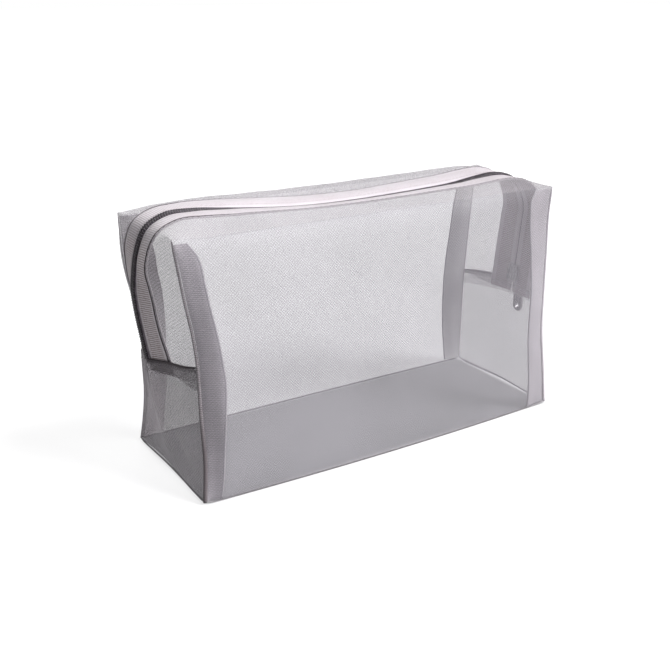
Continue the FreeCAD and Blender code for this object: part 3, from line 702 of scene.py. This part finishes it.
def net_material(name, shade, open_share, thread_cover, hole_cover):
    """Fine net: two families of threads on the bias, with hazy holes between them.

    The covers are the share of what is behind that each face of the net hides.
    """
    n = Nodes(name)
    place, along, across = n.weave()
    ca, sa = math.cos(NET_ANGLE), math.sin(NET_ANGLE)
    one = n.math("ADD", n.math("MULTIPLY", along, ca), n.math("MULTIPLY", across, sa))
    two = n.math("SUBTRACT", n.math("MULTIPLY", along, sa), n.math("MULTIPLY", across, ca))
    uneven = n.noise(place, 0.05, 2.0)
    wander = n.noise(place, 0.35, 2.0)
    wobble = n.between(wander, 0.3, 0.7, -0.10, 0.10, "LINEAR")
    a, b = (n.wave(n.math("ADD", line, wobble), NET_PITCH) for line in (one, two))
    filled = 1 - open_share
    width = n.between(uneven, 0.3, 0.7, filled - 0.035, filled + 0.035, "LINEAR")
    holes = n.math("MULTIPLY", *(n.between(n.math("SUBTRACT", x, width), -0.16, 0.16) for x in (a, b)))
    thread = n.between(holes, 0.0, 1.0, thread_cover, hole_cover, "LINEAR")
    raised = [n.math("SUBTRACT", 1.0, x) for x in (a, b)]
    crossing = n.math("MULTIPLY", *raised)
    tone = n.noise(place, 0.02, 3.0)
    dark, light = toned(shade, 0.86), toned(shade, 1.1)
    colour = n.mix(n.between(tone, 0.35, 0.65), dark, light)
    colour = n.mix(n.math("MULTIPLY", crossing, 0.5), colour, light)
    colour = n.mix(n.math("MULTIPLY", holes, 0.5), colour, dark)
    normal = n.bump(n.math("MAXIMUM", *raised), 0.00012, 0.5)
    cloth = n.skin(colour, 0.62, Normal=normal, Sheen_Weight=0.35, Sheen_Roughness=0.5)
    woven = n.over(0.12, cloth, n.add("ShaderNodeBsdfTranslucent", Color=colour))
    return n.finish(n.over(thread, n.add("ShaderNodeBsdfTransparent"), woven))


PAINTED_TOP_SHADE = (0.83, 0.83, 0.85, 1)  # painted shade: the tape is painted a little greyer where it runs along the top, where the light falls on it most
TOP_BEGINS = 0.122, 0.131  # heights between which the tape's painted light and painted shade along the top begin, in metres


def tape_material(name, shade):
    """Woven zip tape: ribs across it, flecks of twill, smooth pale edges and a sewn line, with painted light
    and painted shade along the top of the bag.
    """
    n = Nodes(name)
    place, along, across = n.weave()
    rib = n.wave(along, 1.15)
    cord = n.wave(across, 0.62)
    slant = n.math("ADD", along, n.math("MULTIPLY", n.wave(across, 2.6), 0.9))
    bone = n.wave(slant, 0.58)
    speck = n.noise(place, 1.9, 2.0, 0.7)
    fleck = n.noise(place, 1.1, 2.0, 0.6, (1.0, 0.45, 1.0))
    tone = n.noise(place, 0.06, 2.0)
    dark, light = toned(shade, (0.44, 0.36, 0.35)), toned(shade, 1.2)
    groove = n.between(rib, 0.35, 0.9, 0.0, 1.0)
    weave = n.math("ADD", groove, n.math("MULTIPLY", bone, 0.14))
    weave = n.math("ADD", weave, n.between(fleck, 0.5, 0.72, 0.0, 0.45))
    plain = n.math("MULTIPLY", n.between(across, 3.0, 3.9), n.between(across, 13.2, 14.0, 1.0, 0.0))
    # painted light: the ribs are painted fainter along the top of the bag, so that the tape there reads
    # brighter
    plain = n.math("MULTIPLY", plain, n.between(n.height(), *TOP_BEGINS, 1.0, 0.4))
    weave = n.math("MULTIPLY", weave, n.math("ADD", n.math("MULTIPLY", plain, 0.8), 0.2))
    colour = n.mix(weave, light, dark)
    colour = n.mix(n.between(tone, 0.35, 0.65, 0.0, 0.12), colour, dark)
    dash = n.between(n.wave(along, 2.6), 0.25, 0.4)
    sewn = n.between(n.math("ABSOLUTE", n.math("SUBTRACT", across, 4.7)), 0.15, 0.45, 0.4, 0.0)
    colour = n.mix(n.math("MULTIPLY", sewn, dash), colour, dark)
    # painted shade: greyer along the top of the bag
    colour = n.mix(n.between(n.height(), *TOP_BEGINS), colour, PAINTED_TOP_SHADE, "MULTIPLY")
    height = n.math("ADD", n.math("MULTIPLY", groove, -0.8), n.math("MULTIPLY", cord, -0.2))
    rough = n.between(speck, 0.3, 0.7, 0.5, 0.72)
    normal = n.bump(height, 0.0002, 0.8)
    return n.finish(n.skin(colour, rough, Normal=normal, Sheen_Weight=0.4, Sheen_Roughness=0.35))


def binding_material(name, shade, haze=1.0, upper=None):
    """Close-woven ribbon with fine ribs across it.

    haze is how much of it is opaque, and upper is a lighter shade that it turns to higher up, so that it is
    painted darker low down: a painted shade.
    """
    n = Nodes(name)
    place, along, across = n.weave()
    rib = n.wave(along, 0.95)
    thread = n.wave(across, 0.5)
    speck = n.noise(place, 1.3, 3.0, 0.7)
    tone = n.noise(place, 0.05, 3.0)
    dark, light = toned(shade, 0.74), toned(shade, 1.2)
    grain = n.math("MULTIPLY", n.between(speck, 0.3, 0.7), 0.45)
    hollow = n.between(n.math("ADD", n.math("MULTIPLY", rib, 0.65), grain), 0.25, 0.95)
    colour = n.mix(hollow, light, dark)
    colour = n.mix(n.between(tone, 0.35, 0.65, 0.0, 0.2), colour, dark)
    # painted shade: darker low down, turning to the upper shade higher up
    if upper:
        high = n.between(n.height(), 0.022, 0.062)
        colour = n.mix(high, colour, n.mix(hollow, upper, dark))
    height = n.math("ADD", n.math("MULTIPLY", rib, -0.7), n.math("MULTIPLY", thread, -0.3))
    normal = n.bump(height, 0.00015, 0.8)
    cloth = n.skin(colour, 0.7, Normal=normal, Sheen_Weight=0.3, Sheen_Roughness=0.5)
    if haze < 1:
        fibre = n.between(speck, 0.25, 0.75, haze - 0.08, haze + 0.08)
        cloth = n.over(fibre, n.add("ShaderNodeBsdfTransparent"), cloth)
    return n.finish(cloth)


def coil_material(name, shade):
    """Nylon filament, a little lighter where it is rubbed."""
    n = Nodes(name)
    place = n.weave()[0]
    rub = n.noise(place, 0.5, 3.0)
    colour = n.mix(n.between(rub, 0.35, 0.7), shade, toned(shade, 2.2))
    rough = n.between(rub, 0.3, 0.7, 0.3, 0.45)
    return n.finish(n.skin(colour, rough, Normal=n.bump(n.noise(place, 6.0, 2.0), 0.00004, 0.5)))


def thread_material(name, shade):
    """Twisted sewing thread."""
    n = Nodes(name)
    along, across = n.weave()[1:]
    twist = n.wave(n.math("ADD", along, across), 0.34)
    colour = n.mix(n.between(twist, 0.2, 0.9), shade, toned(shade, 0.6))
    return n.finish(n.skin(colour, 0.55, Normal=n.bump(twist, -0.00006, 0.8), Sheen_Weight=0.2))


def metal_material(name):
    """Plated zinc, softly cloudy, with fine rubbed marks."""
    n = Nodes(name)
    place = n.add("ShaderNodeTexCoord", 3)
    cloud = n.noise(place, 90.0, 3.0)
    marks = n.noise(place, 700.0, 3.0, 0.6, (1, 1, 0.12))
    colour = n.mix(n.between(cloud, 0.3, 0.7), linear(148, 146, 148), linear(186, 184, 186))
    rough = n.between(marks, 0.3, 0.75, 0.2, 0.38)
    return n.finish(n.skin(colour, rough, Metallic=1.0, Normal=n.bump(marks, 0.00002, 0.4)))


NET = net_material("net", linear(162, 158, 166), 0.76, 0.30, 0.20)
NET_ENDS = net_material("net_ends", linear(170, 165, 171), 0.72, 0.39, 0.285)
# The lower end cloths are darker and denser than the net above them; the left one is painted darker still, a
# painted shade, as that end is in shade.
NET_LOW = {
    LEFT: net_material("net_low_left", linear(144, 138, 143), 0.72, 0.54, 0.46),
    RIGHT: net_material("net_low_right", linear(158, 152, 158), 0.72, 0.44, 0.34),
}
TAPE_CLOTH = tape_material("zip_tape", linear(216, 210, 214))
# One ribbon in copies of different brightness: the back ribbons are painted lighter than the front ones, a
# painted light for where they stand in shade inside the bag; the back left one is painted darker than the
# back right one, and darker low down, a painted shade.
BINDING_FRONT = binding_material("binding_front", linear(190, 184, 189))
BINDING_CLOTH = {
    (LEFT, FRONT): BINDING_FRONT,
    (RIGHT, FRONT): BINDING_FRONT,
    (LEFT, BACK): binding_material("binding_back_left", linear(214, 208, 213), 1.0, linear(255, 252, 255)),
    (RIGHT, BACK): binding_material("binding_back_right", linear(240, 236, 240)),
}
# painted light: the hem ribbon is painted lighter, as it stands in shade behind the end's net
HEM_CLOTH = binding_material("hem_binding", linear(232, 226, 230), 0.2)
RIBBON_EDGE = thread_material("ribbon_edge", linear(214, 209, 214))
# painted shade: the dark seam of the left front corner, which stands in shade; lighter higher up, where that
# shade fades
SEAM_PAINTED_SHADE = binding_material("seam_painted_shade", linear(92, 84, 88), 1.0, linear(150, 144, 149))
SEAM_CLOTH = binding_material("seam", linear(192, 186, 192))
BASE_EDGE = thread_material("base_edge", linear(150, 145, 150))
PAINTED_SHADOW_CORD = thread_material("painted_shadow_cord", linear(76, 66, 72))
LIGHT_THREAD = thread_material("light_thread", linear(190, 184, 190))
NET_THREAD = thread_material("net_thread", linear(178, 173, 179))
COIL = coil_material("coil", linear(84, 78, 84))
COIL_CORE = coil_material("coil_core", linear(30, 27, 30))
COIL_BED = coil_material("coil_bed", linear(124, 115, 124))
METAL = metal_material("slider_metal")


# ---- building the pieces
def label(nodes):
    """Hides the CAD nodes that the piece stands for."""
    if nodes:
        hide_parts(*nodes)


def settle(obj, body, slot, *nodes):
    """This piece goes with one body."""
    label(nodes)
    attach(obj, body)


def lift_with_lip(obj, end, side, slot, *nodes):
    """This piece keeps its place; the CAD nodes that it stands for are hidden."""
    label(nodes)
    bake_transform(obj)


def coil_base(r):
    """The line that the coil stands on, and its outward direction. It sinks where the tapes bulge up."""
    ridge, normal = ridge_at(r)
    return ridge - normal * (0.8 * zip_hidden(r))[:, None], normal


def coil_points(side, r0, r1):
    """One side of the coil: a flattened spiral that stands on the tape."""
    turns = round((r1 - r0) / COIL_PITCH)
    pitch = (r1 - r0) / turns
    steps = 12  # points in a turn
    phase = np.arange(turns * steps + 1) / steps
    shift = 0.5 if side == BACK else 0.0  # so that the two sides interlock
    ridge, normal = coil_base(r0 + (phase + shift) * pitch)
    angle = phase * 2 * math.pi
    c, s = np.cos(angle), np.sin(angle)
    out = 1.25 + 1.15 * np.sign(c) * np.abs(c) ** 0.75  # wider than it is high
    up = 0.7 + 0.55 * np.sign(s) * np.abs(s) ** 0.8
    p = ridge + normal * up[:, None]
    p[:, 1] = side * out
    return p


def make_coil(name, side, r0, r1):
    """The spiral, the cord that it is wound on, and the sewn bed under it."""
    p = coil_points(side, r0, r1)
    spiral = tube(name, p, COIL_WIRE, COIL, up=(0.2, 1.0, 0.3), sides=6)
    r = np.linspace(r0, r1, int((r1 - r0) / 1.5))
    ridge, normal = coil_base(r)
    core = ridge + normal * 0.66
    core[:, 1] = side * 1.35
    core = tube(name + "_core", core, 0.5, COIL_CORE, up=(0, 1, 0), flatten=1.5)
    bed = ridge[:, None, :] + normal[:, None, :] * (0.3 + 0.7 * zip_hidden(r)[:, None, None])
    bed = np.repeat(bed, 6, axis=1)
    bed[..., 1] = side * np.linspace(0.15, BED_WIDTH[side], 6)
    bed = shell(name + "_bed", bed, tuple(normal.mean(0)), weave_of(bed), COIL_BED, COIL_BED_THICK)
    return joined(name, [spiral, core, bed])


def make_zip_side(end, side):
    """Net, tape, coil and stitching of one side of the zip, from one end of the bag to its middle."""
    tag = f"{SIDE_NAME[side]}_{END_NAME[end]}"
    corner = f"{END_NAME[end]}_{SIDE_NAME[side]}"
    r0 = nearest(end * 122.0, 59.0)
    r = np.linspace(min(r0, R_MIDDLE), max(r0, R_MIDDLE), 250)
    outward = (end * 0.7, 0, 1)
    middle = -1 if end == LEFT else 0  # the row where the two halves meet
    net = strip_grid(side, r)
    strip = shell(f"strip_{tag}", net, outward, weave_of(net, middle), NET_ENDS)
    lift_with_lip(strip, end, side, "mesh", f"corner_strip_{corner}", f"top_strip_{SIDE_NAME[side]}")
    woven = tape_grid(side, r)
    tape = shell(f"tape_{tag}", woven, outward, weave_of(woven, middle), TAPE_CLOTH, TAPE)
    lift_with_lip(tape, end, side, "tape", f"corner_tape_{corner}", f"top_tape_{SIDE_NAME[side]}")
    hem_r = nearest(end * 122.5, hem_height(end, 0.0) + 0.4)
    coil = make_coil(f"coil_{tag}", side, min(hem_r, R_MIDDLE), max(hem_r, R_MIDDLE))
    lift_with_lip(coil, end, side, "coil", f"corner_coil_{corner}", f"top_coil_{SIDE_NAME[side]}")
    # a dark cord under the turned edge of the net, a painted shadow of that edge, and the stitches that hold
    # the edge
    normal = ridge_at(r)[1]
    edge = tape_edge_at(side, r)
    edge[:, 1] -= side * 0.05
    slim = smooth(R_LEFT + 12, R_LEFT + 48, r) * (1 - smooth(R_RIGHT - 30, R_RIGHT, r))
    thin = 0.27 if side == FRONT else 0.12
    thick = thin * (1 - 0.72 * slim)
    cord = tube(f"edge_{tag}", edge + normal * 0.06, thick, PAINTED_SHADOW_CORD, up=(0, 1, 0), sides=6)
    sewn_at = edge[:, None, 1] + side * 1.6
    row = net[np.arange(len(r)), np.argmin(np.abs(net[..., 1] - sewn_at), axis=1)]
    thread = stitches(f"thread_{tag}", row, normal, NET_THREAD, radius=0.13)
    trim = joined(f"edging_{tag}", [cord, thread])
    lift_with_lip(trim, end, side, "tape")


def make_tall_panel(side):
    """The front or back panel. Its outer face is handed on to the ribbons."""
    grid = side_panel_grid(side)
    name = SIDE_NAME[side]
    panel = shell(f"{name}_cloth", grid, (0, side, 0), weave_of(grid), NET)
    settle(panel, "pouch", "mesh", f"panel_{name}")
    return grid


def make_binding(end, side, panel):
    """The ribbon over a corner seam, flat against the tall panel on its inner face."""
    corner = f"{END_NAME[end]}_{SIDE_NAME[side]}"
    z = np.linspace(1.6, 131.6, 112)
    seam = seam_at(end, side, z)
    wide = through(*RIBBON[end, side], z)
    start = 0.9  # how far from the seam it begins
    columns = []
    for part in np.linspace(0, 1, 12):
        x = seam[:, 0] - end * (start + part * (wide - start))
        y = on_grid(panel, x, z) - side * (0.42 + 0.5 * math.sin(math.pi * part) ** 2)
        columns.append(np.stack([x, y, z], axis=1))
    grid = np.stack(columns, axis=1)
    grid[..., 1] -= side * (0.25 + 0.25 * ripple(grid, 11.0, 40 + end * 3 + side))
    ribbon = shell(f"ribbon_{corner}", grid, (0, side, 0), weave_of(grid), BINDING_CLOTH[end, side], BINDING)
    edge = grid[:, -1] - np.array([0, side * 0.3, 0])
    edge = tube(f"ribbon_edge_{corner}", edge, 0.62, RIBBON_EDGE, up=(0, 1, 0), flatten=0.8)
    ribbon = joined(f"ribbon_{corner}", [ribbon, edge])
    settle(ribbon, "pouch", "binding", f"corner_binding_{corner}")


def make_end(end):
    """The lower end panel with the dark cord of painted shadow, the stitches and the ribbon of its hem."""
    name = END_NAME[end]
    grid, face = lower_end_grid(end)
    panel = shell(f"{name}_end_cloth", grid, (end, 0, 0), weave_of(grid), NET_LOW[end])
    settle(panel, "pouch", "mesh", f"end_panel_{name}")
    line = hem_line(end, 90)
    last = np.abs(np.linspace(-1, 1, 90)) ** 8
    # painted shadow: a dark cord in the gap under the rolled edge of the hem
    place = line + outward_2d(line, end) * (0.85 - 1.5 * last)[:, None] + [0, 0, HEM_RISE]
    shadow = tube(f"hem_shadow_cord_{name}", place, 0.75 - 0.45 * last, PAINTED_SHADOW_CORD, up=(0, 0, 1))
    settle(shadow, "pouch", "binding")
    # stitching below the rolled edge, and the ribbon behind it
    away = outward_2d(face[:, -1], end)
    row = face[2:-2, -4] + away[2:-2] * 0.02
    thread = stitches(f"hem_thread_{name}", row, away[2:-2], LIGHT_THREAD)
    settle(thread, "pouch", "mesh")
    drop = np.linspace(1.4, 7.2, 10)  # below the top edge
    band = np.array([looked_up(p[-1, 2] - drop, p[:, 2], p) for p in face[1:-1]])
    belly = 0.3 * np.sin(math.pi * np.linspace(0, 1, len(drop)))
    band -= away[1:-1][:, None, :] * (2.9 + belly)[None, :, None]
    ribbon = shell(f"end_ribbon_{name}", band, (end, 0, 0), weave_of(band), HEM_CLOTH, BINDING)
    settle(ribbon, "pouch", "binding", f"end_binding_{name}")


def make_seams():
    """The bound edges that stand up a little along each corner and round the base."""
    for end in (LEFT, RIGHT):
        for side in (FRONT, BACK):
            top = CORNER_TOP[end, side][2]
            z = np.linspace(CORNER_FOOT[end, side][2] - 0.5, top - 0.3, 90)
            line = seam_at(end, side, z) - [end * 0.1, side * 0.1, 0]
            t = z / top
            # thicker at the front than at the back, and slimmer on the way up
            radius = (0.95 if side == FRONT else 0.6) - 0.25 * smooth(0.2, 0.95, t)
            cloth = SEAM_CLOTH
            # painted shade: the left front seam is wider and painted dark
            if (end, side) == (LEFT, FRONT):
                radius, cloth = radius + 0.25 * (1 - smooth(0.3, 0.6, t)), SEAM_PAINTED_SHADE
            radius = radius * (1 - 0.6 * smooth(0.96, 1.0, t))
            name = f"seam_{END_NAME[end]}_{SIDE_NAME[side]}"
            obj = tube(name, line, radius, cloth, up=(0, side, 0), flatten=0.7)
            settle(obj, "pouch", "binding")
    loop = []
    for side in (FRONT, BACK):
        part = (np.arange(140) + 0.5) / 140
        loop.append(foot_at(side, part if side == FRONT else part[::-1]))
        end = RIGHT if side == FRONT else LEFT
        t = (np.arange(60) + 0.5) / 60
        p = edge_between(CORNER_FOOT[end, side], CORNER_FOOT[end, -side], t)
        p[:, 2] += END_ARCH * np.sin(math.pi * t) ** 2
        loop.append(p)
    loop = np.concatenate(loop)
    loop[:, 2] += 0.1
    obj = tube("base_seam", loop, 0.42, BASE_EDGE, up=(0, 0, 1), closed=True)
    settle(obj, "pouch", "binding")


panels = {side: make_tall_panel(side) for side in (FRONT, BACK)}
for end in (LEFT, RIGHT):
    make_end(end)
    for side in (FRONT, BACK):
        make_zip_side(end, side)
        make_binding(end, side, panels[side])
make_seams()
base = base_grid()
base_cloth = shell("base_cloth", base, (0, 0, -1), weave_of(base), NET)
settle(base_cloth, "pouch", "mesh", "base_panel")

# Every piece of net is a flat cut, sewn in along its edges. This is the width and the length of each
# cut, and how much of that rectangle is cloth.
TALL_CUT, END_CUT, STRIP_CUT = (236.0, 136.0, 0.97), (84.0, 70.0, 0.94), (28.0, 192.0, 0.75)
CUTS = {"front_cloth": TALL_CUT, "back_cloth": TALL_CUT, "base_cloth": (84.0, 230.0, 1.0)}
CUTS |= {f"{end}_end_cloth": END_CUT for end in ("left", "right")}
CUTS |= {f"strip_{side}_{end}": STRIP_CUT for side in ("front", "back") for end in ("left", "right")}

for node in ("slider_body", "slider_bail", "pull_tab"):
    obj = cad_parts[node]
    for slot in obj.material_slots:
        slot.link, slot.material = "OBJECT", METAL


# ---- floor, light and camera
FLOOR_UNDER = 0.33  # glow of the floor under the bag


def floor_material():
    """Pale paper, bright enough to print white, with a painted shadow where the bag stands on it."""
    n = Nodes("floor")
    place = n.add("ShaderNodeTexCoord", 3)
    inside = []
    for out, half in zip(n.split(place), (115.0, 43.5)):  # half the bag's length and depth
        inside.append(n.between(n.math("ABSOLUTE", out), (half - 3) * MM, (half + 2) * MM, 1.0, 0.0))
    # painted shadow: the floor is darker over the bag's footprint
    shade = n.math("MULTIPLY", *inside)
    tone = n.noise(place, 3.0, 2.0)
    paper = n.mix(n.between(tone, 0.3, 0.7), (0.30, 0.30, 0.31, 1), (0.33, 0.33, 0.33, 1))
    colour = n.mix(shade, paper, (0.12, 0.12, 0.13, 1))
    paper = n.skin(colour, 0.9)
    strength = n.between(shade, 0.0, 1.0, 0.78, FLOOR_UNDER, "LINEAR")
    glow = n.add("ShaderNodeEmission", Color=(1, 1, 1, 1), Strength=strength)
    lit = n.add("ShaderNodeAddShader", i0=paper, i1=glow)
    return n.finish(n.over(n.add("ShaderNodeLightPath"), paper, lit))  # lit where the camera sees it


def make_floor():
    """A wide floor just under the bag."""
    half, lines, level = 6000.0, 40, -0.4
    x = np.linspace(-half, half, lines)
    xx, yy = np.meshgrid(x, x, indexing="ij")
    verts = np.stack([xx, yy, np.full_like(xx, level)], axis=2).reshape(-1, 3)
    obj = new_object("floor", verts, grid_faces(lines, lines, 0, True), floor_material())


def make_sun(name, towards, strength, softness):
    """A broad soft light from one direction. towards points from the bag to the light."""
    light = bpy.data.lights.new(name, "SUN")
    light.energy, light.angle = strength, math.radians(softness)
    obj = bpy.data.objects.new(name, light)
    obj.rotation_mode = "QUATERNION"
    obj.rotation_quaternion = Vector(towards).to_track_quat("Z", "Y")
    bpy.context.scene.collection.objects.link(obj)


def make_world():
    """White where the camera sees it, and a dimmer light on the bag."""
    n = Nodes("studio", "World")
    seen = n.add("ShaderNodeBackground", Color=(1, 1, 1, 1), Strength=1.0)
    lit = n.add("ShaderNodeBackground", Color=(1.0, 0.99, 1.0, 1), Strength=0.21)
    bpy.context.scene.world = n.finish(n.over(n.add("ShaderNodeLightPath"), lit, seen))


def make_camera():
    """The camera that took the picture, as fitted to the bag's corners."""
    data = bpy.data.cameras.new("camera")
    data.lens, data.sensor_width = 51.75, 36.0
    data.clip_start, data.clip_end = 0.02, 60.0
    obj = bpy.data.objects.new("camera", data)
    place = Vector((-285.0, -429.6, 249.3)) * MM
    target = Vector((-11.9, 0.0, 55.6)) * MM
    look = (target - place).to_track_quat("-Z", "Y").to_matrix()
    roll = Matrix.Rotation(math.radians(0.27), 3, "Z")
    obj.matrix_world = Matrix.Translation(place) @ (look @ roll).to_4x4()
    bpy.context.scene.collection.objects.link(obj)
    bpy.context.scene.camera = obj


make_floor()
make_world()
make_sun("key", (0.55, -0.52, 0.65), 5.8, 34)
make_sun("back", (0.1, 0.8, 0.6), 1.1, 60)
make_camera()
bpy.context.scene.view_settings.view_transform = "Standard"
bpy.context.scene.cycles.transparent_max_bounces = 32
